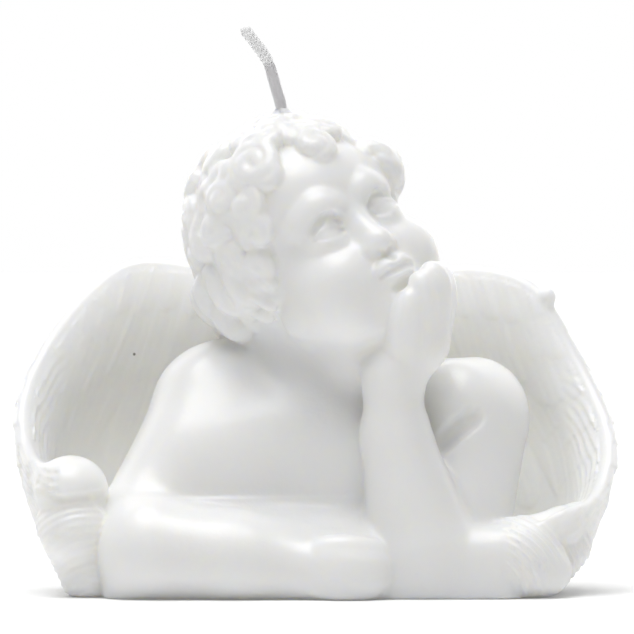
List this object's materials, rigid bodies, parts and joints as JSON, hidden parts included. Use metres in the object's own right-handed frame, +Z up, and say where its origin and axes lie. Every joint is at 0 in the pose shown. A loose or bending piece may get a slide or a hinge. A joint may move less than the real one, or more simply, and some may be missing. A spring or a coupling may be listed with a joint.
{
  "type": "cherub figure candle",
  "caption": "White wax figure candle of a winged child leaning its chin on one hand, arms folded on a flat base, with a bent cotton wick in its crown.",
  "frame": {"origin": "centre of the overall bounding box, on the surface the candle stands on", "axes": "+Z up, -Y is the way the child faces, +X is the child's own left"},
  "size_m": [0.1, 0.055, 0.0942],
  "materials": {
    "white_wax": "soft satin sheen of cast wax, slightly translucent",
    "cotton": "matt braid with crumbs of wax",
    "priming_wax": "smooth satin",
    "tinplate": "dull satin"
  },
  "bodies": {
    "root": {"wax_casting": "white_wax", "wick_braid": "cotton", "wick_priming_sleeve": "priming_wax", "wick_tab": "tinplate"}
  },
  "joints": []
}
